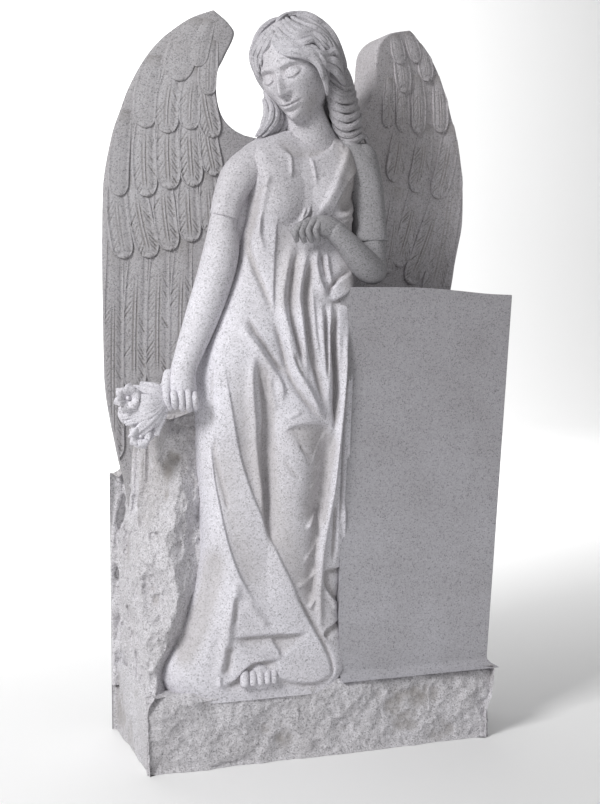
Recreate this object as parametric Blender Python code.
"""Carved granite headstone: an angel standing before a bare tablet, all from one block.

The stone stands with its front towards -Y and its underside on Z = 0. The origin is
the middle of the underside. The base, the rough pillar, the tablet, the wings and the
figure are one body, as they are cut from one block.
"""

from math import cos, pi, radians, sin

import bmesh
import bpy
import numpy as np

# Driving sizes in metres
BASE_WIDTH = 0.80
BASE_DEPTH = 0.35
BASE_TOP_LEAN = 0.024
LEDGE_HEIGHT = 0.165
FIGURE_HEIGHT = 1.432
TABLET_HEIGHT = 0.852
TABLET_LEFT = 0.040
TABLET_FOOT_GAP = 0.002
TABLET_LEAN = 0.055
TABLET_CORNER_DROP = 0.017
TABLET_SETBACK = 0.028
TABLET_FLARE = 0.022
WING_EDGE_THICKNESS = 0.055
WING_ROOT_THICKNESS = 0.135
WING_RISE = 1.0
FEATHER_THICKNESS = 0.012
PILLAR_HEIGHT = 0.585
PILLAR_SIDE = -0.160
PILLAR_CORNER_CUT = 0.100
PILLAR_CORNER_DROP = 0.115
PILLAR_STEP = 0.030
PILLAR_FALL = 0.055
DRESS_GROOVE = 0.030

# Pitched rock: chip sizes and the depth each size is struck to
LARGE_CHIP = 0.085
LARGE_CHIP_DEPTH = 0.013
SMALL_CHIP = 0.034
SMALL_CHIP_DEPTH = 0.0065

# How finely the stone is cut
CLAY_STEP = 0.0062
STONE_FACES = 0.036

# The block's planes
FRONT = -BASE_DEPTH / 2
BACK = BASE_DEPTH / 2
TABLET_FACE = FRONT + TABLET_SETBACK
TABLET_TOP = LEDGE_HEIGHT + TABLET_HEIGHT
TABLET_FOOT_RIGHT = BASE_WIDTH / 2 - TABLET_FOOT_GAP
PILLAR_TOP = LEDGE_HEIGHT + PILLAR_HEIGHT
OVERCUT = 0.010

# The figure is drawn in thousandths of a metre at this height, so one drawn unit is a
# share of the figure's height
DRAWN_FIGURE = 1432.0
DRAWN_LEDGE = 165.0
UNIT = FIGURE_HEIGHT / DRAWN_FIGURE

# Lines are drawn on a flat plane and carried onto the stone along the sight lines of
# someone who stands before the stone, a little to its left
EYE = np.array([-1.049, -2.974, 1.012])
FIGURE_PLANE = -0.130
WING_PLANE = 0.060


def smooth(value, low, high):
    """A soft step from 0 at low to 1 at high."""
    t = np.clip((value - low) / (high - low), 0.0, 1.0)
    return t * t * (3.0 - 2.0 * t)


def drawn(points):
    """Drawn (x, z) pairs as metres, with heights counted up from the ledge."""
    pairs = np.asarray(points, float)
    x = pairs[:, 0] * UNIT
    z = LEDGE_HEIGHT + (pairs[:, 1] - DRAWN_LEDGE) * UNIT
    return np.stack([x, z], axis=1)


def carried(pairs, plane, depth):
    """Move drawn pairs along the sight lines from their plane to a depth."""
    share = (depth - plane) / (plane - EYE[1])
    x = pairs[:, 0] + (pairs[:, 0] - EYE[0]) * share
    z = pairs[:, 1] + (pairs[:, 1] - EYE[2]) * share
    return np.stack([x, z], axis=1)


def through(points, count):
    """A smooth curve through the points, read at even places along its chords."""
    knots = np.asarray(points, float)
    ends = (2 * knots[0] - knots[1], 2 * knots[-1] - knots[-2])
    padded = np.vstack([ends[0], knots, ends[1]])
    chords = np.linalg.norm(np.diff(knots, axis=0), axis=1)
    along = np.concatenate([[0.0], np.cumsum(chords)])
    place = np.linspace(0.0, along[-1], count)
    span = np.clip(np.searchsorted(along, place, side="right") - 1, 0, len(knots) - 2)
    t = ((place - along[span]) / chords[span])[:, None]
    a, b, c, d = (padded[span + step] for step in range(4))
    bend = (2 * a - 5 * b + 4 * c - d) * t**2 + (3 * b - a - 3 * c + d) * t**3
    return 0.5 * (2 * b + (c - a) * t + bend)


def beside(x, z, line):
    """Signed distance to a line of (x, z) pairs and the share of its length passed.

    The distance is positive on the left of someone walking along the line.
    """
    best = np.full(x.shape, 1e9)
    signed = np.zeros(x.shape)
    share = np.zeros(x.shape)
    steps = np.diff(line, axis=0)
    lengths = np.linalg.norm(steps, axis=1)
    passed = np.concatenate([[0.0], np.cumsum(lengths)])
    for start, step, length, before in zip(line[:-1], steps, lengths, passed):
        dx = x - start[0]
        dz = z - start[1]
        t = np.clip((dx * step[0] + dz * step[1]) / length**2, 0.0, 1.0)
        away = np.hypot(dx - t * step[0], dz - t * step[1])
        nearer = away < best
        side = np.where(step[0] * dz - step[1] * dx >= 0.0, 1.0, -1.0)
        best = np.where(nearer, away, best)
        signed = np.where(nearer, away * side, signed)
        share = np.where(nearer, (before + t * length) / passed[-1], share)
    return signed, share


# Closed forms of clay, gathered before they are pressed into one stone

clay_points = []
clay_faces = []


def add_form(points, faces):
    """Gather one closed form."""
    offset = sum(len(part) for part in clay_points)
    clay_points.append(np.asarray(points, float))
    clay_faces.extend([[index + offset for index in face] for face in faces])


def add_skin(rings):
    """Gather a closed form from rings of equal point count, capped at both ends."""
    rows, sides = rings.shape[:2]
    faces = []
    for row in range(rows - 1):
        for side in range(sides):
            after = (side + 1) % sides
            low = row * sides
            faces.append([low + side, low + after, low + sides + after, low + sides + side])
    faces.append(list(range(sides))[::-1])
    faces.append([(rows - 1) * sides + side for side in range(sides)])
    add_form(rings.reshape(-1, 3), faces)


def tube_rings(path, wide, thick, flat_way, sides):
    """Rings along a path: half widths across and along flat_way, one pair for each point."""
    along = np.gradient(path, axis=0)
    along /= np.linalg.norm(along, axis=1)[:, None]
    facing = np.broadcast_to(np.asarray(flat_way, float), path.shape)
    out = facing - along * (along * facing).sum(axis=1)[:, None]
    out /= np.linalg.norm(out, axis=1)[:, None]
    across = np.cross(out, along)
    turn = np.arange(sides) * 2 * pi / sides
    ring = across[:, None] * np.cos(turn)[None, :, None] * np.asarray(wide)[:, None, None]
    ring = ring + out[:, None] * np.sin(turn)[None, :, None] * np.asarray(thick)[:, None, None]
    return path[:, None] + ring


def add_limb(places, radii, count=14, sides=12, flat=1.0, lift_end=0.0):
    """Gather a limb: a tube through drawn places with its own radius at each of them.
    Its last place may be lifted."""
    marks = figure_points(places)
    marks[-1, 2] += lift_end
    both = through(np.column_stack([marks, np.asarray(radii, float) * UNIT]), count)
    path = both[:, :3]
    wide = both[:, 3]
    last = path[-1] + (path[-1] - path[-2]) / np.linalg.norm(path[-1] - path[-2]) * wide[-1] * 0.5
    path = np.vstack([path, last])
    wide = np.append(wide, wide[-1] * 0.65)
    add_skin(tube_rings(path, wide, wide * flat, (0, -1, 0.001), sides))


# Rough rock faces

rock_seeds = np.random.default_rng(11).random((4000, 6))


def chips(points, facet, relief, shift):
    """Depth of scooped chips: every cell of a jittered lattice is a tilted bowl, and the
    deepest bowl wins, so ridges stand between them."""
    places = points / facet + shift
    cells = np.floor(places).astype(int)
    depth = np.full(len(points), -1e9)
    for step in np.ndindex(3, 3, 3):
        cell = cells + np.array(step) - 1
        mixed = cell[:, 0] * 73 + cell[:, 1] * 179 + cell[:, 2] * 283
        seed = rock_seeds[mixed % len(rock_seeds)]
        offset = places - cell - seed[:, :3]
        tilt = (offset * (seed[:, 3:] - 0.5)).sum(axis=1)
        depth = np.maximum(depth, seed[:, 5] * 1.1 + 1.5 * tilt - 0.9 * (offset**2).sum(axis=1))
    return relief * np.clip(depth, 0.0, None)


def rock(points):
    """Large and small chips together."""
    large = chips(points, LARGE_CHIP, LARGE_CHIP_DEPTH, 0.0)
    return large + chips(points, SMALL_CHIP, SMALL_CHIP_DEPTH, 3.7)


def add_rock(low, high, shape, step):
    """Gather a block whose points are moved by shape."""
    block = bmesh.new()
    bmesh.ops.create_cube(block, size=1.0)
    low = np.asarray(low, float)
    high = np.asarray(high, float)
    size = high - low
    for axis in range(3):
        way = [0.0, 0.0, 0.0]
        way[axis] = 1.0
        for cut in np.arange(low[axis] + step, high[axis] - step / 2, step):
            at = [0.0, 0.0, 0.0]
            at[axis] = (cut - low[axis]) / size[axis] - 0.5
            everything = block.verts[:] + block.edges[:] + block.faces[:]
            bmesh.ops.bisect_plane(block, geom=everything, plane_co=at, plane_no=way)
    share = np.array([vert.co[:] for vert in block.verts]) + 0.5
    points = low + share * size
    faces = [[vert.index for vert in face.verts] for face in block.faces]
    block.free()
    add_form(shape(points, share), faces)


def shape_base(points, share):
    """The base: pitched front and ends whose top edges are knocked off."""
    deep = rock(points)
    rise = points[:, 2] / LEDGE_HEIGHT
    front = share[:, 1] < 0.001
    left = share[:, 0] < 0.001
    right = share[:, 0] > 0.999
    foot = smooth(rise, 0.0, 0.05)
    knocked = smooth(rise, 0.86, 1.0) ** 2 * (0.004 + 0.6 * deep)
    moved = points.copy()
    moved[:, 1] += front * (deep * (0.7 + 0.3 * foot) + knocked)
    moved[:, 0] += right * (BASE_TOP_LEAN * smooth(rise, 0.2, 0.9) - deep * 0.8)
    moved[:, 0] += left * (deep * 0.5 + knocked)
    return moved


def pillar_front(x, z):
    """Depth of the pillar's front before chipping: a leaning ridge, cut back towards the
    outer corner, stepped back under the hand, and falling away towards the dress."""
    rise = (z - LEDGE_HEIGHT) / PILLAR_HEIGHT
    ridge = -BASE_WIDTH / 2 + 0.015 + 0.050 * smooth(rise, 0.0, 0.5)
    face = FRONT + 0.016 + 0.022 * smooth(rise, 0.06, 0.69) + PILLAR_STEP * smooth(rise, 0.70, 0.78)
    corner = (0.020 + PILLAR_CORNER_CUT * smooth(rise, 0.0, 0.6)) * smooth(ridge - x, -0.010, 0.050)
    left, _, _ = dress_frame(z)
    fall = PILLAR_FALL * smooth((x - ridge) / np.maximum(left - ridge, 0.001), 0.0, 1.0)
    groove = DRESS_GROOVE * smooth(x, left - 0.016, left + 0.006)
    return face + corner + fall + groove


def pillar_top(x):
    """Height of the pillar's top, which drops towards the outer corner."""
    inward = x + BASE_WIDTH / 2
    drop = PILLAR_CORNER_DROP * smooth(-inward, -0.065, -0.015)
    return PILLAR_TOP - drop - 0.020 * smooth(-inward, -0.160, -0.070)


def shape_pillar(points, share):
    """The pillar: the block leaned, cut back at its corner and chipped."""
    moved = points.copy()
    foot = points[:, 2].min()
    moved[:, 2] = foot + (pillar_top(points[:, 0]) - foot) * share[:, 2]
    deep = rock(moved * np.array([1.0, 1.0, 0.8]) + 0.3) * 1.45
    front = pillar_front(moved[:, 0], moved[:, 2]) + (share[:, 1] < 0.001) * deep
    moved[:, 1] = front + (moved[:, 1] - FRONT) * (BACK + OVERCUT - front) / (BACK + OVERCUT - FRONT)
    moved[:, 0] += (share[:, 0] < 0.001) * deep * 0.7
    moved[:, 2] -= (share[:, 2] > 0.999) * rock(moved) * 0.8
    return moved


# The figure

# Sections of the dress: height, left side, right side and how far the front is set
# back from the base's front, in drawn units
DRESS_SECTIONS = (
    (140, -330, 44, 10), (175, -350, 60, 8), (200, -354, 66, 10), (225, -345, 64, 13),
    (250, -328, 58, 15), (300, -303, 52, 18), (350, -283, 52, 20), (400, -268, 58, 20),
    (450, -260, 64, 18), (500, -258, 65, 15), (600, -262, 68, 14), (700, -268, 72, 14),
    (780, -270, 74, 14), (840, -266, 74, 15), (890, -252, 74, 17), (950, -228, 75, 21),
    (1000, -207, 76, 25), (1050, -188, 77, 30), (1100, -174, 80, 34), (1150, -163, 84, 34),
    (1200, -155, 88, 31), (1250, -150, 92, 33), (1290, -160, 94, 45),
    (1315, -150, 84, 58), (1335, -120, 66, 70), (1352, -84, 44, 82),
)
DRESS_ROUNDNESS_LEFT = 3.6
DRESS_ROUNDNESS_RIGHT = 6.0
DRESS_DEEPEST = 0.0

# Round swells under the cloth: marks of (x, z, height, radius) in drawn units
SWELLS = (
    ((-88, 1226, 15, 50), (-84, 1216, 15, 50)),
    ((28, 1216, 15, 50), (30, 1206, 15, 50)),
    ((-140, 1288, 20, 62), (-100, 1300, 16, 60)),
    ((-60, 1000, 8, 95), (-60, 960, 8, 95)),
    ((-150, 900, 6, 80), (-165, 760, 6, 80)),
    ((-5, 860, 4, 70), (-30, 700, 11, 66), (-40, 560, 13, 64), (-46, 430, 12, 58), (-54, 300, 4, 50)),
)

# Carved lines: points (x, z), height, width on the left hand, width on the right hand
# Negative heights are valleys; the sharper side of a fold has the smaller width
FOLDS = (
    # Chest
    (((-80, 1312), (-70, 1290), (-66, 1262)), 5, 7, 7),
    (((-25, 1298), (-20, 1280), (-10, 1245)), 5, 7, 7),
    (((-110, 1325), (-80, 1314), (-50, 1302), (-25, 1298), (0, 1302), (20, 1322)), 5, 9, 5),
    # Band over the shoulder
    (((60, 1320), (55, 1290), (40, 1250), (20, 1210), (0, 1180)), 9, 9, 12),
    (((100, 1325), (95, 1290), (70, 1245), (45, 1205), (30, 1185)), 9, 10, 5),
    (((80, 1320), (75, 1290), (55, 1245), (32, 1205)), -5, 8, 8),
    (((95, 1200), (60, 1178), (30, 1172)), 8, 14, 8),
    # Waist and gathered folds below the hand
    (((-160, 1108), (-150, 1080), (-135, 1035), (-120, 1000), (-103, 955)), -10, 11, 7),
    (((-97, 1170), (-97, 1130), (-100, 1090), (-104, 1040), (-103, 960)), 9, 14, 10),
    (((-158, 960), (-140, 920), (-120, 885), (-100, 855), (-72, 832)), -12, 7, 12),
    (((-60, 1120), (-80, 1080), (-92, 1030), (-93, 980), (-88, 930), (-75, 885), (-55, 840),
      (-25, 790), (8, 735)), 13, 10, 16),
    (((-50, 1110), (-65, 1060), (-75, 1000), (-75, 950), (-68, 905), (-55, 870),
      (-35, 828)), -11, 6, 6),
    (((-25, 1110), (-40, 1060), (-48, 1000), (-46, 950), (-42, 900), (-32, 850),
      (-18, 800), (0, 760)), 11, 9, 8),
    (((-15, 1105), (-30, 1050), (-38, 990), (-38, 930), (-33, 870), (-22, 820),
      (5, 752)), -10, 5, 6),
    (((-5, 1100), (-10, 1050), (-5, 1010), (10, 1000)), 8, 7, 7),
    (((-18, 1020), (-15, 960), (-8, 900), (2, 850)), -8, 6, 6),
    (((8, 990), (10, 900), (12, 850), (18, 800), (20, 760)), -9, 6, 6),
    (((25, 1000), (22, 920), (20, 800)), 9, 7, 8),
    (((38, 1000), (40, 900), (38, 800), (32, 740)), -13, 9, 9),
    # Long edge of the mantle down the right side
    (((68, 960), (68, 700), (63, 600), (60, 500), (55, 430)), 9, 8, 6),
    (((55, 960), (60, 900), (62, 860), (58, 800), (52, 750), (48, 700), (42, 640),
      (35, 580), (25, 500), (12, 440), (0, 350)), 9, 7, 9),
    (((28, 700), (24, 640), (18, 560), (5, 470), (-12, 390)), -12, 9, 12),
    # Turned-back cloth under the elbow
    (((20, 998), (40, 1030), (62, 1044), (80, 1040)), 10, 6, 16),
    (((25, 998), (40, 992), (60, 1000), (76, 1012)), -8, 6, 8),
    # Knee
    (((-93, 700), (-80, 717), (-60, 723), (-20, 725), (0, 722), (20, 712)), 6, 7, 12),
    (((-92, 800), (-98, 740), (-102, 680), (-106, 620), (-108, 560), (-105, 510),
      (-98, 470), (-90, 430)), -6, 9, 14),
    # Long sweeping folds of the skirt
    (((-145, 880), (-120, 850), (-95, 810)), 7, 8, 5),
    (((-150, 875), (-150, 800), (-148, 650), (-140, 600), (-118, 500)), 8, 13, 12),
    (((-132, 870), (-131, 800), (-128, 720), (-126, 650), (-120, 540), (-105, 455)), -16, 10, 11),
    (((-220, 885), (-212, 830), (-203, 780), (-195, 730), (-185, 680), (-170, 630),
      (-160, 590), (-145, 550), (-130, 510), (-120, 480), (-105, 450), (-90, 410),
      (-75, 370), (-55, 335), (-30, 300), (-10, 265), (5, 235), (20, 205), (30, 178)), -12, 5, 9),
    (((-208, 870), (-198, 800), (-178, 690), (-150, 590), (-118, 500), (-75, 395),
      (-30, 320), (10, 258), (38, 195)), 8, 16, 9),
    (((-246, 712), (-243, 660), (-238, 600), (-228, 550), (-215, 500), (-190, 430),
      (-170, 385), (-150, 345), (-112, 300)), -11, 5, 8),
    (((-233, 690), (-228, 610), (-214, 545), (-200, 500), (-176, 435), (-150, 385),
      (-100, 318)), 7, 12, 8),
    (((-240, 850), (-240, 760), (-238, 680), (-232, 630), (-205, 545)), -4, 5, 5),
    # Bottom of the skirt
    (((-245, 440), (-250, 380), (-270, 320), (-300, 220)), -12, 16, 20),
    (((-215, 430), (-205, 350), (-205, 290)), 8, 12, 12),
    (((-190, 350), (-190, 290)), -5, 9, 9),
    (((-180, 345), (-155, 300), (-125, 285)), 6, 9, 9),
    (((-205, 268), (-120, 268), (-50, 265), (-28, 272)), -9, 12, 4),
    (((-205, 283), (-120, 281), (-50, 278), (-28, 285)), 6, 12, 6),
    (((-215, 262), (-212, 220), (-220, 175)), -9, 9, 9),
    (((-110, 260), (-95, 235), (-85, 215)), -5, 6, 6),
    (((-175, 178), (-150, 176), (-103, 176)), -26, 20, 16),
    # Stepped edge at the lower right
    (((7, 380), (12, 365), (35, 345), (52, 330)), -8, 6, 10),
    (((48, 290), (30, 275), (12, 260)), -8, 6, 10),
    (((4, 395), (28, 403), (45, 405), (70, 408)), -9, 3, 12),
)


def dress_frame(height):
    """Left side, right side and front depth of the dress at a height."""
    table = np.asarray(DRESS_SECTIONS, float)
    levels = LEDGE_HEIGHT + (table[:, 0] - DRAWN_LEDGE) * UNIT
    rows = through(np.column_stack([levels, table[:, 1:] * UNIT]), 400)
    left, right, back = (np.interp(height, rows[:, 0], rows[:, k]) for k in (1, 2, 3))
    return left, right, FRONT + back


def dress_depth(x, z):
    """Depth of the uncarved front of the dress: a rounded section at each height."""
    left, right, front = dress_frame(z)
    middle = left * 0.42 + right * 0.58
    over = np.where(x < middle, (middle - x) / (middle - left), (x - middle) / (right - middle))
    power = np.where(x < middle, DRESS_ROUNDNESS_LEFT, DRESS_ROUNDNESS_RIGHT)
    bulge = (1.0 - np.clip(over, 0.0, 0.999) ** power) ** (1.0 / power)
    return DRESS_DEEPEST - (DRESS_DEEPEST - front) * bulge


def on_dress(points):
    """Drawn points carried onto the dress along the sight lines."""
    pairs = drawn(points)
    depth = np.full(len(pairs), TABLET_FACE)
    for _ in range(3):
        placed = carried(pairs, FIGURE_PLANE, depth)
        depth = dress_depth(placed[:, 0], placed[:, 1])
    return carried(pairs, FIGURE_PLANE, depth)


def dress_carving(x, z):
    """How far the cloth stands out from the uncarved dress."""
    out = np.zeros(x.shape)
    for marks in SWELLS:
        marks = np.asarray(marks, float)
        away, share = beside(x, z, on_dress(marks[:, :2]))
        place = np.linspace(0.0, 1.0, len(marks))
        height = np.interp(share, place, marks[:, 2]) * UNIT
        radius = np.interp(share, place, marks[:, 3]) * UNIT
        out += height * np.clip(1.0 - (away / radius) ** 2, 0.0, 1.0) ** 1.2
    for points, height, left, right in FOLDS:
        line = on_dress(through(points, 4 * len(points)))
        away, share = beside(x, z, line)
        width = np.where(away > 0.0, left, right) * UNIT
        ends = smooth(share, -0.02, 0.12) * smooth(1.0 - share, -0.02, 0.12)
        out += height * UNIT * ends * np.exp(-((away / width) ** 2))
    return out


def add_dress():
    """Gather the body in its dress as rings stacked from the hem to the neck."""
    table = np.asarray(DRESS_SECTIONS, float)
    bottom = LEDGE_HEIGHT + (table[0, 0] - DRAWN_LEDGE) * UNIT
    top = LEDGE_HEIGHT + (table[-1, 0] - DRAWN_LEDGE) * UNIT
    heights = np.linspace(bottom, top, 190)
    share = (1.0 - np.cos(np.linspace(0.0, pi, 90))) / 2.0
    left, right, _ = dress_frame(heights)
    x = left[:, None] + (right - left)[:, None] * share[None, :]
    z = np.repeat(heights[:, None], len(share), axis=1)
    y = dress_depth(x, z) - dress_carving(x, z) * smooth(dress_depth(x, z), 0.0, -0.08)
    front = np.stack([x, y, z], axis=2)
    inner = WING_ROOT_THICKNESS * 0.5
    rear = front[:, ::-1].copy()
    rear[:, :, 0] = left[:, None] + (right - left)[:, None] * (0.2 + 0.6 * share[None, ::-1])
    rear[:, :, 1] = BACK - inner
    rings = np.concatenate([front, rear[:, ::10]], axis=1)
    add_skin(rings)


def figure_points(places):
    """Places of the figure: drawn x and z, and how far each is behind the base's front."""
    places = np.asarray(places, float)
    depth = FRONT + places[:, 2] * UNIT
    pairs = carried(drawn(places[:, :2]), FIGURE_PLANE, depth)
    return np.stack([pairs[:, 0], depth, pairs[:, 1]], axis=1)


# Rolls of the mantle over the shoulder: places and radii
MANTLE_ROLLS = (
    (((96, 1322, 84), (108, 1292, 56), (98, 1248, 44), (72, 1206, 34), (38, 1172, 22)), (18, 20, 18, 14, 9)),
    (((76, 1330, 80), (82, 1292, 54), (68, 1246, 44), (46, 1208, 36), (20, 1176, 26)), (16, 17, 14, 11, 8)),
    (((58, 1334, 80), (58, 1294, 56), (46, 1250, 48), (26, 1214, 40), (2, 1184, 30)), (13, 14, 12, 9, 7)),
    (((118, 1290, 70), (120, 1250, 56), (104, 1212, 46), (72, 1188, 36), (36, 1166, 22)),
     (14, 15, 14, 11, 8)),
)


def add_arms():
    """Gather both arms with their sleeves, hands and fingers."""
    left_arm = ((-100, 1290, 100), (-146, 1276, 92), (-181, 1246, 86), (-202, 1205, 80),
                (-211, 1150, 80), (-222, 1090, 80), (-238, 1030, 76), (-262, 960, 70),
                (-285, 900, 60), (-300, 860, 52), (-306, 838, 46))
    add_limb(left_arm, (34, 40, 37, 29, 30, 35, 37, 34, 30, 27, 27), 44)
    left_sleeve = ((-80, 1290, 104), (-118, 1284, 96), (-152, 1272, 88), (-180, 1246, 82),
                   (-199, 1206, 78), (-208, 1166, 79))
    add_limb(left_sleeve, (44, 44, 42, 41, 35, 34), 24)
    add_limb(((-305, 846, 48), (-309, 820, 43), (-311, 795, 44), (-311, 772, 50)), (26, 32, 34, 26), 10)
    add_limb(((-336, 838, 44), (-341, 812, 34), (-340, 785, 30), (-334, 768, 34)), (12, 12, 10, 9), 10, 8)
    for x, top, low in ((-325, 805, 768), (-310, 810, 763), (-295, 808, 762), (-281, 801, 766)):
        finger = ((x, top - 4, 30), (x, top - 9, 14), (x + 1, (top + low) / 2, 8),
                  (x + 2, low + 6, 13), (x + 3, low, 26))
        add_limb(finger, (7, 8, 8, 7.5, 7), 10, 8)
    elbow_lift = TABLET_TOP - (LEDGE_HEIGHT + (1017.0 - DRAWN_LEDGE) * UNIT)
    upper_arm = ((92, 1290, 92), (104, 1240, 84), (108, 1180, 80), (114, 1110, 72), (118, 1056, 60))
    add_limb(upper_arm, (38, 36, 34, 34, 32), 30, lift_end=elbow_lift)
    forearm = ((34, 1138, 16), (58, 1115, 20), (85, 1085, 30), (108, 1062, 45), (122, 1054, 62))
    add_limb(forearm, (22, 25, 30, 33, 30), 24, lift_end=elbow_lift)
    right_sleeve = ((40, 1296, 108), (66, 1290, 98), (88, 1270, 90), (102, 1232, 84),
                    (108, 1186, 81), (113, 1128, 80))
    add_limb(right_sleeve, (44, 44, 43, 41, 38, 38), 24)
    for places, radii in MANTLE_ROLLS:
        add_limb(places, radii, 30, 16, 0.62)
    add_limb(((40, 1136, 18), (18, 1147, 15), (-6, 1150, 14), (-26, 1146, 17)), (22, 23, 21, 16), 14, 14, 0.8)
    knuckles = (((2, 1160), (-12, 1140), (-5, 1119)), ((-12, 1162), (-29, 1140), (-21, 1117)),
                ((-26, 1160), (-44, 1138), (-37, 1116)), ((-38, 1154), (-58, 1136), (-54, 1118)))
    for (ax, az), (bx, bz), (cx, cz) in knuckles:
        finger = ((ax, az, 9), ((ax + bx) / 2, (az + bz) / 2 + 3, 4), (bx, bz, 2),
                  ((bx + cx) / 2, (bz + cz) / 2, 4), (cx, cz, 12))
        add_limb(finger, (7.5, 8, 8, 7.5, 7), 10, 8)


def add_foot():
    """Gather the foot and its five toes under the raised hem."""
    add_limb(((-138, 200, 60), (-138, 188, 34), (-139, 178, 24)), (34, 34, 28), 10, 16, 0.75)
    for x, size in ((-168, 9.5), (-152, 8.5), (-138, 8), (-124, 7.5), (-110, 7.5)):
        add_limb(((x, 190, 26), (x, 180, 13), (x, 168, 5)), (size, size, size), 8, 10)


# Head and hair

HEAD_CENTRE = (-57, 1474, 90)
HEAD_TURN = radians(-48)
HEAD_NOD = radians(20)
HEAD_TILT = radians(-13)
SKULL = (73.0, 90.0, 108.0)
head_middle = figure_points([HEAD_CENTRE])[0]


def head_turned(points):
    """Turn head points (right, forward, up) by nod, tilt and turn, and place them."""
    right, forward, up = (np.asarray(points, float)[..., k] * UNIT for k in range(3))
    nodded = forward * cos(HEAD_NOD) + up * sin(HEAD_NOD)
    raised = up * cos(HEAD_NOD) - forward * sin(HEAD_NOD)
    tilted = right * cos(HEAD_TILT) + raised * sin(HEAD_TILT)
    upright = raised * cos(HEAD_TILT) - right * sin(HEAD_TILT)
    x = tilted * cos(HEAD_TURN) + nodded * sin(HEAD_TURN)
    y = tilted * sin(HEAD_TURN) - nodded * cos(HEAD_TURN)
    return head_middle + np.stack([x, y, upright], axis=-1)


def mound(x, z, at_x, at_z, wide, tall):
    """A bell of height 1 around a place of the face."""
    return np.exp(-(((x - at_x) / wide) ** 2) - ((z - at_z) / tall) ** 2)


def face_relief(x, z):
    """Height of the face over the egg in millimetres, for x across and z up.
    Jaw, brow, sockets, lids, nose, lips and chin are bells added one by one."""
    pair = np.abs(x)
    out = 33.0 * smooth(-z, 30, 100) * np.exp(-((x / 42) ** 2))
    brow = 25.0 - 0.009 * (pair - 27) ** 2
    out += 3.6 * np.exp(-(((z - brow) / 5.0) ** 2)) * smooth(pair, 4, 14) * smooth(56 - pair, 0, 14)
    out -= 10.0 * np.exp(-((((pair - 29) / 20) ** 2 + ((z - 7) / 12) ** 2) ** 1.3))
    out -= 3.5 * mound(x, z, 0, 11, 12, 9)
    lid = np.clip(1.0 - ((pair - 30) / 16.5) ** 2 - ((z - 3.5) / 11.5) ** 2, 0.0, 1.0)
    seam = -4.5 + 0.021 * (pair - 30) ** 2
    inside = smooth(15.5 - np.abs(pair - 30), 0, 3)
    out += 9.0 * lid**0.62
    out += 1.5 * smooth(z - seam, -0.9, 0.9) * inside * smooth(lid, 0.0, 0.3)
    out -= 1.9 * np.exp(-(((z - seam + 1.0) / 1.3) ** 2)) * inside
    bridge = smooth(z, -39, -32) * smooth(22 - z, 0, 22)
    lift = 5.0 + 17.0 * smooth(-z, -14, 28)
    wide = 6.6 + 3.2 * smooth(-z, -5, 30)
    out += lift * bridge * np.exp(-(np.abs(x / wide) ** 2.3))
    out += 2.2 * mound(x, z, 0, -28, 7, 6)
    out += 6.5 * mound(pair, z, 11.5, -31, 4.8, 5.2)
    out -= 4.0 * mound(pair, z, 5.6, -37.5, 3.2, 2.2)
    out += 3.0 * mound(x, z, 0, -52, 25, 16)
    out -= 1.6 * mound(x, z, 0, -45, 2.8, 5)
    mouth = -57.0 + 0.0035 * x**2
    upper = z - mouth - 4.2 - 0.9 * np.cos(x * 0.45)
    out += 4.4 * np.exp(-((upper / 3.2) ** 2)) * np.clip(1 - (x / 24) ** 2, 0, 1) ** 0.8
    out += 5.4 * np.exp(-(((z - mouth + 5.0) / 4.0) ** 2)) * np.clip(1 - (x / 20) ** 2, 0, 1) ** 0.8
    out -= 3.4 * np.exp(-(((z - mouth) / 1.5) ** 2)) * smooth(25 - pair, 0, 7)
    out -= 2.2 * mound(pair, z, 24.5, -56, 4, 4)
    out -= 5.5 * mound(x, z, 0, -70, 16, 5)
    out += 4.5 * mound(x, z, 0, -86, 15, 10)
    out += 4.0 * mound(pair, z, 41, -16, 17, 20)
    return out


def add_head():
    """Gather the head, the neck and the face."""
    rows = np.linspace(0.03, pi - 0.03, 90)
    turns = np.linspace(-1.0, 1.0, 90, endpoint=False)
    turns = pi * (0.40 * turns + 0.60 * turns**3)
    down, around = np.meshgrid(rows, turns, indexing="ij")
    x = SKULL[0] * np.sin(down) * np.sin(around)
    forward = SKULL[1] * np.sin(down) * np.cos(around)
    z = SKULL[2] * np.cos(down)
    x = x * (1.0 - 0.30 * smooth(-z, 10, 100))
    forward = forward - 14.0 * smooth(-forward, 0, 60) * smooth(-z, 0, 80)
    facing = smooth(np.cos(around), 0.1, 0.6) * smooth(np.sin(down), 0.02, 0.28)
    forward = forward + facing * face_relief(x, z)
    add_skin(head_turned(np.stack([x, forward, z], axis=-1)))
    neck = ((-20, 1296, 132), (-24, 1322, 118), (-30, 1350, 104), (-40, 1390, 98), (-50, 1430, 96))
    add_limb(neck, (84, 66, 52, 44, 44), 16, 24)


CAP = (102.0, 104.0, 106.0)
CAP_CENTRE = (-48, 1484, 104)
cap_middle = figure_points([CAP_CENTRE])[0]


def cap_depth(x, z, lift):
    """Depth of an ellipsoid around the skull: centre less its depth radius times the
    root of one less the squared shares across and up."""
    across = (x - cap_middle[0]) / ((CAP[0] + lift) * UNIT)
    up = (z - cap_middle[2]) / ((CAP[2] + lift) * UNIT)
    inside = np.clip(1.0 - across**2 - up**2, 0.0, 1.0)
    return cap_middle[1] - (CAP[1] + lift) * UNIT * np.sqrt(inside)


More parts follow.
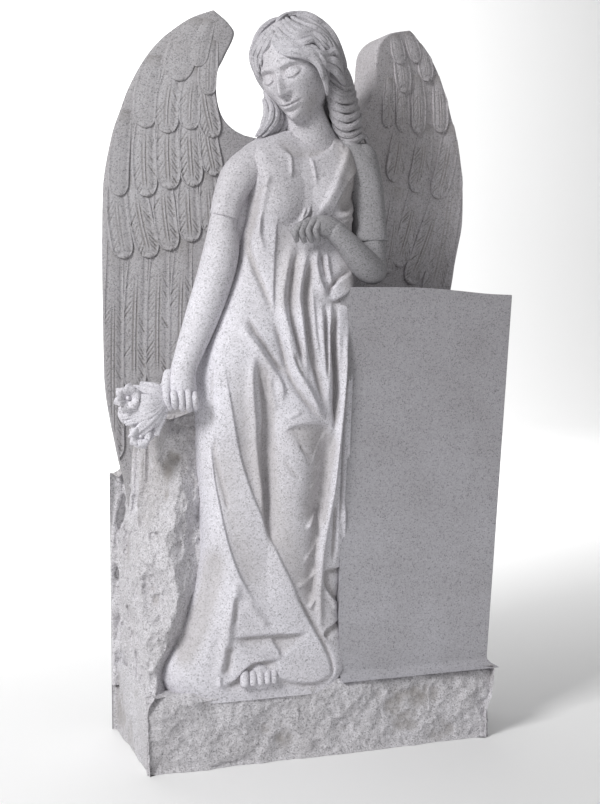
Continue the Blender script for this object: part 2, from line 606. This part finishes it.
def on_cap(points, lift):
    """Drawn (x, z) points carried onto the cap as places in space."""
    pairs = drawn(points)
    depth = np.full(len(pairs), cap_middle[1] - 0.06)
    for _ in range(6):
        placed = carried(pairs, FIGURE_PLANE, depth)
        depth = 0.5 * depth + 0.5 * cap_depth(placed[:, 0], placed[:, 1], lift)
    placed = carried(pairs, FIGURE_PLANE, depth)
    return np.stack([placed[:, 0], depth, placed[:, 1]], axis=-1)


def add_lock(path, size, middle):
    """Gather one lock of hair, narrower at both ends and turned away from the middle."""
    share = np.linspace(0.0, 1.0, len(path))
    wide = size * UNIT * (0.75 + 0.35 * np.sin(pi * share**0.75) ** 0.7)
    out = path - middle
    out = out / np.linalg.norm(out, axis=1)[:, None]
    add_skin(tube_rings(path, wide, wide * 0.85, out, 10))


def on_fall(points, spine, radii):
    """Drawn points laid on a hanging roll: back of the spine less the root of the squared
    radius less the squared distance across."""
    points = np.asarray(points, float)
    spine = np.asarray(spine, float)[::-1]
    middle, back = (np.interp(points[:, 1], spine[:, 1], spine[:, k]) for k in (0, 2))
    reach = np.interp(points[:, 1], spine[:, 1], np.asarray(radii, float)[::-1])
    lift = np.sqrt(np.clip(reach**2 - (points[:, 0] - middle) ** 2, (0.25 * reach) ** 2, None))
    return figure_points(np.column_stack([points, back - lift]))


# Locks over the crown: drawn line, half width and height over the cap
CROWN_LOCKS = (
    (((-105, 1545), (-94, 1529), (-73, 1519), (-48, 1517), (-25, 1514), (-9, 1502), (2, 1481),
      (12, 1452), (16, 1426)), 9, -2),
    (((-103, 1553), (-90, 1536), (-70, 1526), (-48, 1523), (-28, 1524), (-10, 1518), (6, 1500),
      (18, 1478)), 7.5, 1),
    (((-100, 1560), (-89, 1545), (-71, 1533), (-53, 1529), (-34, 1534), (-18, 1540), (-2, 1530),
      (12, 1512)), 7.5, 3),
    (((-91, 1571), (-80, 1556), (-62, 1544), (-44, 1541), (-25, 1547), (-8, 1544), (8, 1530),
      (22, 1520)), 7.5, 2),
    (((-84, 1577), (-72, 1563), (-54, 1553), (-34, 1552), (-14, 1553), (6, 1542),
      (24, 1524)), 7.5, 3),
    (((-78, 1581), (-66, 1570), (-48, 1561), (-25, 1559), (-2, 1552), (16, 1538), (34, 1512)), 8, 2),
    (((-66, 1584), (-52, 1577), (-34, 1570), (-12, 1564), (10, 1550), (28, 1530), (42, 1500)), 8, 3),
    (((-53, 1588), (-30, 1581), (-7, 1568), (14, 1551), (30, 1531), (43, 1508), (50, 1484)), 8, 0),
    (((-36, 1590), (-8, 1582), (16, 1564), (34, 1540), (48, 1512), (56, 1486), (52, 1466)), 9, -1),
    (((-104, 1562), (-121, 1546), (-135, 1526), (-146, 1507), (-149, 1488), (-145, 1470),
      (-137, 1455)), 8, -1),
    (((-105, 1554), (-119, 1538), (-132, 1518), (-140, 1500), (-142, 1483), (-138, 1466)), 7.5, 0),
    (((-104, 1546), (-115, 1530), (-126, 1512), (-133, 1496), (-134, 1480)), 7, 0),
    (((-98, 1570), (-116, 1558), (-135, 1540), (-149, 1518), (-154, 1496), (-150, 1474),
      (-142, 1458)), 8, -5),
    (((-88, 1580), (-108, 1572), (-130, 1555), (-146, 1533), (-152, 1516)), 8, -6),
    (((-20, 1522), (-2, 1512), (16, 1512), (30, 1520), (38, 1512), (44, 1494)), 8, 4),
    (((-12, 1508), (6, 1500), (24, 1500), (38, 1494), (48, 1478), (50, 1462)), 8, 4),
    (((-6, 1495), (12, 1488), (30, 1480), (44, 1466), (54, 1450), (52, 1436)), 8, 4),
)


LEFT_FALL = ((-118, 1425, 108), (-108, 1400, 102), (-108, 1375, 99), (-118, 1350, 100), (-134, 1328, 104))
LEFT_FALL_RADII = (14, 22, 25, 23, 13)
RIGHT_FALL = ((26, 1500, 104), (38, 1465, 98), (46, 1432, 95), (52, 1400, 94), (60, 1370, 95), (72, 1335, 98))
RIGHT_FALL_RADII = (24, 34, 37, 37, 36, 26)
RIGHT_LOCKS = (
    ((-10, 1500), (12, 1496), (32, 1485), (46, 1468), (56, 1452), (58, 1438), (46, 1432)),
    ((-2, 1484), (14, 1474), (34, 1456), (52, 1443), (66, 1446), (70, 1458)),
    ((7, 1468), (21, 1448), (39, 1433), (58, 1427), (72, 1436), (76, 1448)),
    ((13, 1448), (26, 1429), (44, 1417), (63, 1417), (76, 1426), (80, 1436)),
    ((16, 1430), (28, 1408), (47, 1398), (66, 1399), (80, 1410), (84, 1420)),
    ((19, 1410), (33, 1388), (54, 1378), (72, 1382), (84, 1394), (88, 1404)),
    ((22, 1390), (38, 1368), (58, 1359), (77, 1366), (90, 1380), (93, 1390)),
    ((28, 1368), (44, 1350), (64, 1343), (82, 1350), (94, 1360)),
    ((38, 1350), (58, 1334), (76, 1332), (92, 1341), (102, 1340), (106, 1328), (100, 1316)),
    ((52, 1334), (72, 1320), (88, 1318), (96, 1310)),
)
LEFT_LOCKS = (
    ((-128, 1412), (-122, 1394), (-123, 1373), (-131, 1352), (-145, 1333)),
    ((-118, 1412), (-110, 1394), (-113, 1370), (-124, 1352), (-138, 1335)),
    ((-106, 1405), (-98, 1386), (-102, 1366), (-116, 1346), (-130, 1333)),
    ((-94, 1396), (-88, 1378), (-92, 1358), (-106, 1342), (-120, 1331)),
    ((-84, 1385), (-78, 1368), (-84, 1350), (-98, 1338), (-110, 1328)),
)


def add_hair():
    """Gather the hair: a cap, swept locks over it, and stacked curls on two falls."""
    rows = np.linspace(0.05, pi - 0.05, 40)
    turns = np.arange(60) * 2 * pi / 60
    down, around = np.meshgrid(rows, turns, indexing="ij")
    behind = smooth(np.sin(around), -0.25, 0.35)
    x = CAP[0] * 0.94 * np.sin(down) * np.cos(around)
    x = x * (1.0 - 0.16 * smooth(-x, 0, 60) * smooth(-np.cos(down), 0.1, 0.7))
    y = CAP[1] * (0.34 + 0.56 * behind) * np.sin(down) * np.sin(around)
    z = CAP[2] * 0.97 * np.cos(down)
    add_skin(cap_middle + np.stack([x, y + 8.0, z], axis=-1) * UNIT)
    for points, size, lift in CROWN_LOCKS:
        add_lock(on_cap(through(points, 30), lift), size, cap_middle)
    add_limb(LEFT_FALL, np.array(LEFT_FALL_RADII) - 4, 20, 16)
    add_limb(RIGHT_FALL, np.array(RIGHT_FALL_RADII) - 5, 24, 20)
    nape = ((-44, 1490, 124), (-36, 1420, 136), (-22, 1350, 142), (-14, 1310, 150))
    add_limb(nape, (78, 74, 66, 56), 20, 24, 0.55)
    falls = [(points, 8.4, RIGHT_FALL, RIGHT_FALL_RADII) for points in RIGHT_LOCKS]
    falls += [(points, 7.4, LEFT_FALL, LEFT_FALL_RADII) for points in LEFT_LOCKS]
    for points, size, spine, radii in falls:
        path = on_fall(through(points, 26), spine, radii)
        middle = figure_points([spine[2]])[0] + np.array([0.0, 0.02, 0.0])
        inside = np.column_stack([np.full(len(path), middle[0]), np.full(len(path), middle[1]), path[:, 2]])
        add_lock(path, size, inside)


# Bouquet


def add_blade(places, wide, flat, count=14):
    """Gather a petal or leaf: a flat limb along a bent line."""
    add_limb(places, wide, count, 12, flat)


def add_lily(x, z, back, size, turn_start, petals=6):
    """Gather a lily seen from the front: broad petals round a bud."""
    for petal in range(petals):
        turn = turn_start + petal * 2 * pi / petals
        dx = cos(turn) * size
        dz = sin(turn) * size
        layer = 3 * (petal % 2)
        petal_places = ((x + 0.1 * dx, z + 0.1 * dz, back + 2),
                        (x + 0.45 * dx, z + 0.45 * dz, back - 3 - layer),
                        (x + 0.85 * dx, z + 0.85 * dz, back - 6 - layer),
                        (x + 1.05 * dx, z + 1.05 * dz, back - 2))
        add_blade(petal_places, (7, 0.46 * size, 0.42 * size, 6), 0.65)
    add_limb(((x, z, back + 4), (x, z, back - 6), (x, z, back - 12)), (8, 8, 8), 8, 12)


def add_bouquet():
    """Gather the lilies, leaves and stems that fan out from the hand."""
    add_limb(((-345, 776, 82), (-374, 770, 76), (-404, 762, 80), (-420, 758, 92)), (32, 44, 42, 24), 14, 16)
    add_limb(((-380, 740, 84), (-392, 718, 82), (-396, 704, 88)), (30, 26, 20), 10, 14)
    add_lily(-420, 790, 46, 27, 0.35)
    add_lily(-402, 706, 58, 19, 1.3, 5)
    add_lily(-378, 704, 56, 16, 0.4, 5)
    blades = (((-338, 792, 36), (-362, 808, 38), (-394, 816, 54)),
              ((-338, 788, 32), (-380, 786, 30), (-423, 798, 50)),
              ((-338, 786, 32), (-384, 774, 28), (-438, 766, 58)),
              ((-338, 784, 32), (-378, 756, 28), (-426, 737, 58)),
              ((-338, 783, 32), (-374, 748, 30), (-417, 710, 56)),
              ((-336, 779, 34), (-352, 748, 36), (-363, 713, 46)))
    for blade in blades:
        add_blade(blade, (8, 11, 8), 0.8)
    add_limb(((-338, 790, 34), (-376, 794, 34), (-412, 792, 44)), (8, 8, 8), 10, 10)


# Wings

LEFT_WING_OUTER = ((-182, 1626), (-230, 1607), (-270, 1580), (-300, 1555), (-330, 1520),
                   (-355, 1480), (-375, 1440), (-390, 1400), (-405, 1360), (-415, 1320),
                   (-425, 1270), (-430, 1220), (-433, 1080), (-432, 800), (-428, 740),
                   (-420, 700), (-400, 590), (-390, 500))
LEFT_WING_INNER = ((-178, 1626), (-170, 1620), (-150, 1605), (-135, 1588), (-131, 1578),
                   (-137, 1560), (-150, 1535), (-160, 1515), (-168, 1500), (-172, 1480),
                   (-173, 1450), (-170, 1425), (-162, 1400), (-150, 1382), (-130, 1366),
                   (-105, 1355), (-80, 1350), (-50, 1346), (-20, 1342), (10, 1330), (30, 1300),
                   (38, 1260), (40, 1200), (40, 1100), (40, 900), (40, 700), (40, 500))
RIGHT_WING_OUTER = ((292, 1610), (300, 1603), (320, 1582), (340, 1558), (360, 1525),
                    (375, 1490), (390, 1450), (400, 1415), (412, 1380), (420, 1340),
                    (427, 1300), (431, 1260), (432, 1210), (430, 1160), (420, 1110),
                    (412, 1070), (404, 1020), (380, 900))
RIGHT_WING_INNER = ((288, 1610), (270, 1607), (240, 1600), (220, 1585), (208, 1565),
                    (204, 1540), (202, 1510), (198, 1480), (190, 1450), (180, 1432),
                    (165, 1424), (120, 1405), (90, 1385), (60, 1362), (30, 1345), (10, 1320),
                    (0, 1280), (0, 1200), (0, 1100), (0, 1000), (0, 900))

# Feathers: tip (x, z), root (x, z) and half width, in drawn units; upper rows come last
LEFT_FEATHERS = (
    ((-412, 640), (-408, 1120), 30), ((-362, 800), (-350, 1130), 30),
    ((-312, 800), (-300, 1130), 29), ((-262, 820), (-252, 1130), 28),
    ((-398, 1046), (-402, 1260), 29), ((-346, 1070), (-342, 1260), 31),
    ((-288, 1090), (-286, 1270), 30), ((-238, 1105), (-236, 1270), 29),
    ((-396, 1214), (-392, 1400), 27), ((-338, 1212), (-336, 1400), 31),
    ((-282, 1228), (-284, 1400), 30), ((-234, 1238), (-238, 1400), 28),
    ((-190, 1246), (-196, 1400), 26),
    ((-334, 1364), (-318, 1520), 30), ((-284, 1350), (-280, 1500), 29),
    ((-240, 1352), (-240, 1500), 27), ((-200, 1350), (-205, 1480), 25),
    ((-272, 1470), (-225, 1600), 34), ((-222, 1462), (-190, 1590), 30),
)
RIGHT_FEATHERS = (
    ((300, 1026), (345, 1240), 36), ((250, 1060), (250, 1250), 30),
    ((356, 1030), (392, 1260), 24),
    ((268, 1080), (290, 1260), 30), ((336, 1090), (356, 1290), 26),
    ((246, 1258), (262, 1420), 34), ((302, 1238), (324, 1420), 32),
    ((356, 1222), (372, 1420), 32),
    ((282, 1374), (292, 1520), 27), ((312, 1370), (334, 1520), 28),
    ((364, 1380), (366, 1500), 26), ((236, 1380), (244, 1500), 26),
    ((284, 1468), (272, 1560), 28), ((336, 1494), (318, 1580), 26),
    ((246, 1440), (236, 1540), 24),
    ((268, 1530), (252, 1590), 22), ((312, 1530), (292, 1600), 20),
)


def wing_depth(x):
    """Depth of the wing's front: thin at its outer edge, thick at the shoulder."""
    swell = smooth(-np.abs(x), -0.43, -0.13)
    return BACK - WING_EDGE_THICKNESS - (WING_ROOT_THICKNESS - WING_EDGE_THICKNESS) * swell


def on_wing(points):
    """Drawn points of a wing carried onto its front along the sight lines."""
    pairs = drawn(points)
    shoulder = LEDGE_HEIGHT + (1350.0 - DRAWN_LEDGE) * UNIT
    over = pairs[:, 1] > shoulder
    pairs[:, 1] = np.where(over, shoulder + (pairs[:, 1] - shoulder) * WING_RISE, pairs[:, 1])
    placed = pairs
    for _ in range(3):
        placed = carried(pairs, WING_PLANE, wing_depth(placed[:, 0]))
    return placed


def feather_height(x, z, feathers):
    """Height of overlapping feathers: each swells towards its rounded tip."""
    out = np.zeros(x.shape)
    for tip, root, half in feathers:
        start, end = on_wing([root, tip])
        length = np.linalg.norm(end - start)
        way = (end - start) / length
        along = (x - start[0]) * way[0] + (z - start[1]) * way[1]
        across = (x - start[0]) * way[1] - (z - start[1]) * way[0]
        half_width = half * UNIT
        round_start = length - half_width * 1.2
        ahead = np.clip((along - round_start) / (length - round_start), 0.0, 1.0)
        limit = half_width * np.sqrt(1.0 - ahead**2)
        inside = smooth(limit - np.abs(across), 0.0, 0.004) * (along > 0) * (along < length)
        swell = 0.25 + 0.75 * np.clip(along / length, 0.0, 1.0) ** 1.5
        crown = 1.0 - 0.6 * (across / half_width) ** 2
        groove = 1.0 - 0.22 * np.exp(-((across / (half_width * 0.12)) ** 2))
        out = np.maximum(out, FEATHER_THICKNESS * inside * swell * crown * groove)
    return out


def add_wing(outer, inner, feathers):
    """Gather a wing as rings stacked between its outer and inner outlines."""
    outer_line = on_wing(through(outer, 160))
    inner_line = on_wing(through(inner, 160))
    top = min(outer_line[0, 1], inner_line[0, 1]) - 0.001
    bottom = max(outer_line[-1, 1], inner_line[-1, 1])
    heights = np.linspace(bottom, top, 190)
    outer_x = np.interp(heights, outer_line[::-1, 1], outer_line[::-1, 0])
    inner_x = np.interp(heights, inner_line[::-1, 1], inner_line[::-1, 0])
    share = np.linspace(0.0, 1.0, 70)
    x = outer_x[:, None] + (inner_x - outer_x)[:, None] * share[None, :]
    z = np.repeat(heights[:, None], len(share), axis=1)
    y = wing_depth(x) - feather_height(x, z, feathers)
    front = np.stack([x, y, z], axis=2)
    rear = front[:, ::-1][:, ::23].copy()
    rear[:, :, 1] = BACK + OVERCUT
    rings = np.concatenate([front, rear], axis=1)
    if outer_x[0] > inner_x[0]:
        rings = rings[:, ::-1]
    add_skin(rings)


# The tablet and the core of the base keep true flat faces

def plate(name, outline, front, back):
    """A flat-faced solid: an outline of (x, z) pairs extruded from front to back."""
    shape = bmesh.new()
    corners = [shape.verts.new((x, front, z)) for x, z in outline]
    face = shape.faces.new(corners)
    moved = bmesh.ops.extrude_face_region(shape, geom=[face])["geom"]
    carried_verts = [item for item in moved if isinstance(item, bmesh.types.BMVert)]
    bmesh.ops.translate(shape, verts=carried_verts, vec=(0.0, back - front, 0.0))
    bmesh.ops.recalc_face_normals(shape, faces=shape.faces)
    return finish_mesh(name, shape)


def finish_mesh(name, shape):
    """Turn a bmesh into an object in the scene."""
    mesh = bpy.data.meshes.new(name)
    shape.to_mesh(mesh)
    shape.free()
    thing = bpy.data.objects.new(name, mesh)
    bpy.context.scene.collection.objects.link(thing)
    return thing


def tablet_outline():
    """The tablet: a straight leaning right edge, a top that dips at its right corner."""
    left = TABLET_LEFT
    foot = LEDGE_HEIGHT - 0.03
    right_foot = TABLET_FOOT_RIGHT
    right_top = TABLET_FOOT_RIGHT + TABLET_LEAN
    outline = [(left, foot), (right_foot, foot), (right_foot, LEDGE_HEIGHT)]
    outline.append((right_top, TABLET_TOP - TABLET_CORNER_DROP))
    for step in range(1, 6):
        share = step / 5.0
        x = right_top - (right_top - left) * 0.75 * share
        outline.append((x, TABLET_TOP - TABLET_CORNER_DROP * (1.0 - share) ** 1.6))
    outline.append((left, TABLET_TOP))
    return outline


def flare():
    """The slope at the tablet's foot, running down and out to the base's edges."""
    shape = bmesh.new()
    rings = []
    for rise, grow in ((0.0, 1.0), (0.35, 0.45), (0.7, 0.12), (1.0, 0.0)):
        out = TABLET_FLARE * grow
        z = LEDGE_HEIGHT - 0.008 + 0.022 * rise
        right = TABLET_FOOT_RIGHT + out * 1.2
        front = TABLET_FACE - out
        left = TABLET_LEFT + 0.010
        corners = ((left, front, z), (right, front, z), (right, BACK - 0.002, z), (left, BACK - 0.002, z))
        rings.append([shape.verts.new(corner) for corner in corners])
    for low, high in zip(rings[:-1], rings[1:]):
        for side in range(4):
            after = (side + 1) % 4
            shape.faces.new((low[side], low[after], high[after], high[side]))
    shape.faces.new(rings[0][::-1])
    shape.faces.new(rings[-1])
    bmesh.ops.recalc_face_normals(shape, faces=shape.faces)
    return finish_mesh("flare", shape)


def granite():
    """Pale speckled granite."""
    material = bpy.data.materials.new("granite")
    material.use_nodes = True
    surface = material.node_tree.nodes["Principled BSDF"]
    surface.inputs["Base Color"].default_value = (0.52, 0.51, 0.53, 1.0)
    surface.inputs["Roughness"].default_value = 0.72
    surface.inputs["Metallic"].default_value = 0.0
    return material


def join_to(stone, other, operation):
    """Add or cut another solid with an exact Boolean."""
    other.hide_render = True
    other.display_type = "WIRE"
    change = stone.modifiers.new(other.name, "BOOLEAN")
    change.operation = operation
    change.solver = "EXACT"
    change.object = other


def largest_body(thing):
    """Keep only the largest connected surface, so no loose crumb or sealed hollow stays."""
    evaluated = thing.evaluated_get(bpy.context.evaluated_depsgraph_get())
    mesh = bpy.data.meshes.new_from_object(evaluated)
    pairs = np.empty(len(mesh.edges) * 2, int)
    mesh.edges.foreach_get("vertices", pairs)
    parent = list(range(len(mesh.vertices)))
    for first, second in pairs.reshape(-1, 2).tolist():
        while parent[first] != first:
            parent[first] = parent[parent[first]]
            first = parent[first]
        while parent[second] != second:
            parent[second] = parent[parent[second]]
            second = parent[second]
        parent[max(first, second)] = min(first, second)
    for vert in range(len(parent)):
        parent[vert] = parent[parent[vert]]
    body = np.bincount(parent).argmax()
    shape = bmesh.new()
    shape.from_mesh(mesh)
    loose = [vert for vert in shape.verts if parent[vert.index] != body]
    bmesh.ops.delete(shape, geom=loose, context="VERTS")
    shape.to_mesh(mesh)
    shape.free()
    return mesh


def build():
    """Model the whole stone."""
    for thing in list(bpy.data.objects):
        bpy.data.objects.remove(thing, do_unlink=True)
    half = BASE_WIDTH / 2
    behind = BACK + OVERCUT
    add_rock((-half, FRONT, -0.03), (half, behind, LEDGE_HEIGHT), shape_base, 0.020)
    add_rock((-half, FRONT, 0.10), (PILLAR_SIDE, behind, PILLAR_TOP), shape_pillar, 0.016)
    add_dress()
    add_arms()
    add_foot()
    add_head()
    add_hair()
    add_bouquet()
    add_wing(LEFT_WING_OUTER, LEFT_WING_INNER, LEFT_FEATHERS)
    add_wing(RIGHT_WING_OUTER, RIGHT_WING_INNER, RIGHT_FEATHERS)
    mesh = bpy.data.meshes.new("angel_headstone")
    mesh.from_pydata(np.concatenate(clay_points).tolist(), [], clay_faces)
    stone = bpy.data.objects.new("angel_headstone", mesh)
    bpy.context.scene.collection.objects.link(stone)
    press = stone.modifiers.new("press the clay into one", "REMESH")
    press.mode = "VOXEL"
    press.voxel_size = CLAY_STEP
    whole = largest_body(stone)
    stone.modifiers.clear()
    stone.data = whole
    stone.data.materials.append(granite())
    fewer = stone.modifiers.new("fewer faces", "DECIMATE")
    fewer.ratio = STONE_FACES
    join_to(stone, plate("tablet", tablet_outline(), TABLET_FACE, BACK - 0.001), "UNION")
    join_to(stone, flare(), "UNION")
    floor = plate("floor cut", ((-1.0, -0.3), (1.0, -0.3), (1.0, 0.0), (-1.0, 0.0)), -1.0, 1.0)
    join_to(stone, floor, "DIFFERENCE")
    rear = plate("rear cut", ((-1.0, -0.1), (1.0, -0.1), (1.0, 2.2), (-1.0, 2.2)), BACK, BACK + 0.5)
    join_to(stone, rear, "DIFFERENCE")


build()
